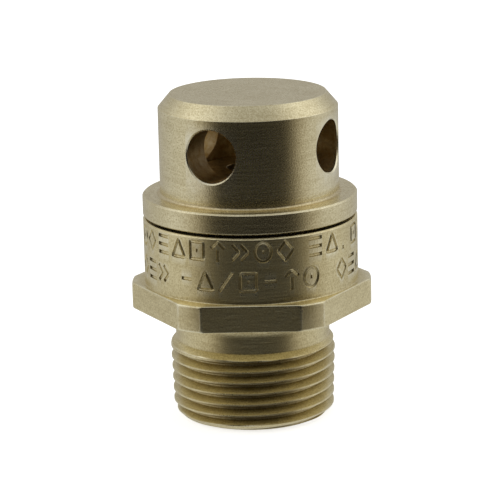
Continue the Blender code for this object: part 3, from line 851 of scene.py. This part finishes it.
def makeGuide(sizes, material):
    low, top, outer = span("stem_guide")
    webTop = low + sizes["web"]
    corners = [(sizes["boreR"], low, 0.12), (outer, low, 0.18), (outer, webTop, 0.18), (sizes["hubR"], webTop, 0.2),
               (sizes["hubR"], top, 0.2), (sizes["boreR"], top, 0.15)]
    shape = lathe(softened(corners), 160)
    bmesh.ops.remove_doubles(shape, verts=shape.verts, dist=0.001 * mm)
    spokes = sizes["spokes"]
    sides = [(radius, math.pi / spokes - math.asin(sizes["spokeWidth"] / 2 / radius), turn, steps)
             for radius, turn, steps in ((sizes["ringInR"], 1, sizes["ringSteps"]),
                                         (sizes["hubR"] + sizes["hubGap"], -1, sizes["hubSteps"]))]
    windows = []
    for spoke in range(spokes):
        middle = math.tau * (spoke + 0.5) / spokes
        outline = [(radius, middle + turn * half * (2 * step / steps - 1))
                   for radius, half, turn, steps in sides for step in range(steps + 1)]
        window = bmesh.new()
        extrude(window, [[pointAt(window, radius, angle, height) for radius, angle in outline]
                         for height in (low - sizes["windowOver"], webTop + sizes["windowOver"])])
        windows.append(toolPiece("guideWindow", window))
    guide = finishPiece("stemGuide", cutWith(shape, windows, "guide"), material)
    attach(guide, "valve")
    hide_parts("stem_guide")


makeNut(nutSizes, innerBrass)
makeClip(clipSizes, springSteel)
makeGuide(guideSizes, innerBrass)
print("nut, clip and guide ready")


# return spring

springSizes = {"coilR": 4.9, "wireR": 0.225, "turns": 7.5, "endPitch": 0.75, "pointsPerTurn": 40}


def makeSpringTree(name, sizes):
    # a wire wound up the axis, with its first and last turns laid close
    tree, given, result = newShapeTree(name, sizes)
    plus, minus, times, over, least, most = allSums(tree)
    line = addNode(tree, "GeometryNodeMeshLine", {"Count": given["Points"]}).outputs[0]
    index = addNode(tree, "GeometryNodeInputIndex").outputs[0]
    turn = times(given["Turns"], over(index, minus(given["Points"], 1.0)))
    openTurns = minus(given["Turns"], 2.0)
    openPitch = over(minus(given["Length"], times(given["End Pitch"], 2.0)), openTurns)
    inOpen = least(most(minus(turn, 1.0), 0.0), openTurns)
    closeRise = times(given["End Pitch"], minus(turn, inOpen))
    height = plus(plus(given["Low"], closeRise), times(openPitch, inOpen))
    point = roundAxis(tree, given["Coil Radius"], times(turn, math.tau), height)
    path = addNode(tree, "GeometryNodeMeshToCurve", {"Mesh": moveTo(tree, line, point)}).outputs[0]
    return endTree(tree, sweep(tree, path, 12, given["Wire Radius"]), given["Finish"], result)


def makeSpring(sizes, material):
    low, top = span("return_spring")[:2]
    wire = sizes["wireR"]
    shape = runTree("returnSpring", makeSpringTree, material, {
        "Turns": sizes["turns"], "Coil Radius": sizes["coilR"] * mm, "Wire Radius": wire * mm,
        "Low": (low + wire) * mm, "Length": (top - low - 2 * wire) * mm, "End Pitch": sizes["endPitch"] * mm,
        "Points": float(round(sizes["turns"] * sizes["pointsPerTurn"]) + 1)})
    spring = finishPiece("returnSpring", shape, material, 40.0)
    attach(spring, "valve")
    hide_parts("return_spring")
    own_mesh(spring)


makeSpring(springSizes, springSteel)
print("spring ready")


# floor, studio and camera

studioSizes = {"cameraPolar": 25.4, "back": 366.09, "side": -0.161, "up": 119.54, "aim": 26.796, "roll": -1.279,
               "lens": 168.3, "clip": (0.01, 20.0), "darkTurn": 4.0, "greenLoss": 0.15, "blueLoss": 0.42,
               "walls": [(0.0, 0.46, 0.15), (0.22, 0.56, 0.0), (0.40, 0.65, 0.0), (0.57, 0.64, 0.0),
                         (0.70, 0.50, 0.5), (0.79, 0.15, 1.0), (0.85, 0.028, 1.0),
                         (1.0, 0.016, 0.8)],  # place, level and warmth, from behind round to the camera
               "banks": [(0.25, 0.0), (0.5, 0.42), (0.75, 0.42), (0.97, 0.0)], "bankFade": (0.35, 0.80),
               "ceiling": (0.52, 0.52, 0.52), "ceilingFade": (0.45, 0.92), "ground": (0.62, 0.62, 0.60),
               "groundFade": (-0.35, -0.85)}
lampSizes = {"across": 0.7, "power": 0.8, "place": (0.05, 0.10, 0.75)}
floorSizes = {"half": 1600.0, "grain": 900.0, "darker": (0.86, 0.86, 0.855), "lighter": (0.90, 0.90, 0.895),
              "specular": 0.1, "glow": 0.72}


def makeFloor(sizes):
    shape = bmesh.new()
    bmesh.ops.create_grid(shape, x_segments=8, y_segments=8, size=sizes["half"] * mm)
    floor = placeObject("studioFloor", meshOf("studioFloor", shape))
    material = bpy.data.materials.new("paleFloor")
    material.use_nodes = True
    tree = material.node_tree
    shader = tree.nodes["Principled BSDF"]
    paper = noise(tree, addNode(tree, "ShaderNodeTexCoord").outputs["Object"], sizes["grain"], 3.0, 0.6)
    tree.links.new(mixColour(tree, paper, sizes["darker"], sizes["lighter"]), shader.inputs["Base Color"])
    tree.links.new(remap(tree, paper, 0.3, 0.7, 0.82, 0.92), shader.inputs["Roughness"])
    shader.inputs["Specular IOR Level"].default_value = sizes["specular"]
    shader.inputs["Emission Color"].default_value = (1.0, 1.0, 1.0, 1.0)
    shader.inputs["Emission Strength"].default_value = sizes["glow"]
    floor.data.materials.append(material)
    floor.visible_glossy = False


def fillRamp(tree, factor, stops):
    # a colour ramp through (place, colour) stops
    node = addNode(tree, "ShaderNodeValToRGB", {"Fac": factor})
    ramp = node.color_ramp
    while len(ramp.elements) < len(stops):
        ramp.elements.new(0.5)
    for element, (place, colour) in zip(ramp.elements, stops):
        element.position = place
        element.color = (*colour, 1.0)
    return node.outputs["Color"]


def makeStudio(sizes):
    # a quiet room: dark behind the camera, pale walls at the sides, brighter above them, grey at the back
    world = bpy.data.worlds.new("softStudio")
    bpy.context.scene.world = world
    world.use_nodes = True
    tree = world.node_tree
    tree.nodes.clear()
    plus, times, over, most = sums(tree, "ADD", "MULTIPLY", "DIVIDE", "MAXIMUM")
    parts = partsOf(tree, addNode(tree, "ShaderNodeTexCoord").outputs["Generated"])
    turn = math.radians(sizes["cameraPolar"] + sizes["darkTurn"])
    flat = calc(tree, "SQRT", plus(times(parts["X"], parts["X"]), times(parts["Y"], parts["Y"])))
    ahead = plus(times(parts["X"], math.sin(turn)), times(parts["Y"], -math.cos(turn)))
    ahead = over(ahead, most(flat, 0.001))
    walls = fillRamp(tree, remap(tree, ahead, -1.0, 1.0, 0.0, 1.0), [
        (place, (level, level * (1.0 - sizes["greenLoss"] * warmth), level * (1.0 - sizes["blueLoss"] * warmth)))
        for place, level, warmth in sizes["walls"]])
    level = mixColour(tree, remap(tree, parts["Z"], *sizes["ceilingFade"], 0.0, 1.0), walls, sizes["ceiling"])
    banks = fillRamp(tree, remap(tree, parts["Z"], 0.0, 1.0, 0.0, 1.0),
                     [(place, (value, value, value)) for place, value in sizes["banks"]])
    sideways = remap(tree, calc(tree, "ABSOLUTE", ahead), *sizes["bankFade"], 1.0, 0.0)
    boosted = mixColour(tree, 1.0, level, times(banks, sideways), "ADD")
    roomColour = mixColour(tree, remap(tree, parts["Z"], *sizes["groundFade"], 0.0, 1.0), boosted, sizes["ground"])
    room = addNode(tree, "ShaderNodeBackground", {"Color": roomColour, "Strength": 1.0})
    white = addNode(tree, "ShaderNodeBackground", {"Color": (1.0, 1.0, 1.0, 1.0), "Strength": 1.0})
    seen = addNode(tree, "ShaderNodeLightPath").outputs["Is Camera Ray"]
    both = addNode(tree, "ShaderNodeMixShader", {0: seen, 1: room.outputs[0], 2: white.outputs[0]})
    final = tree.nodes.new("ShaderNodeOutputWorld")
    tree.links.new(both.outputs[0], final.inputs["Surface"])


def makeCamera(sizes):
    turn = Matrix.Rotation(math.radians(sizes["cameraPolar"]), 3, "Z")
    place = turn @ Vector((sizes["side"], -sizes["back"], sizes["up"])) * mm
    aim = turn @ Vector((sizes["side"], 0.0, sizes["aim"])) * mm
    data = bpy.data.cameras.new("studioCamera")
    data.sensor_width = 36.0
    data.lens = sizes["lens"]
    data.clip_start, data.clip_end = sizes["clip"]
    camera = placeObject("studioCamera", data)
    facing = (aim - place).to_track_quat("-Z", "Y")
    lean = Matrix.Rotation(math.radians(sizes["roll"]), 4, "Z")
    camera.matrix_world = Matrix.Translation(place) @ facing.to_matrix().to_4x4() @ lean
    bpy.context.scene.camera = camera


def makeKeyLight(sizes):
    # one wide soft lamp overhead, for the faint shadow under the valve
    data = bpy.data.lights.new("overheadSoftbox", "AREA")
    data.shape = "DISK"
    data.size = sizes["across"]
    data.energy = sizes["power"]
    lamp = placeObject("overheadSoftbox", data)
    lamp.location = sizes["place"]
    lamp.visible_glossy = False


makeFloor(floorSizes)
makeStudio(studioSizes)
makeCamera(studioSizes)
makeKeyLight(lampSizes)
bpy.context.scene.view_settings.view_transform = "Standard"
print("studio ready")
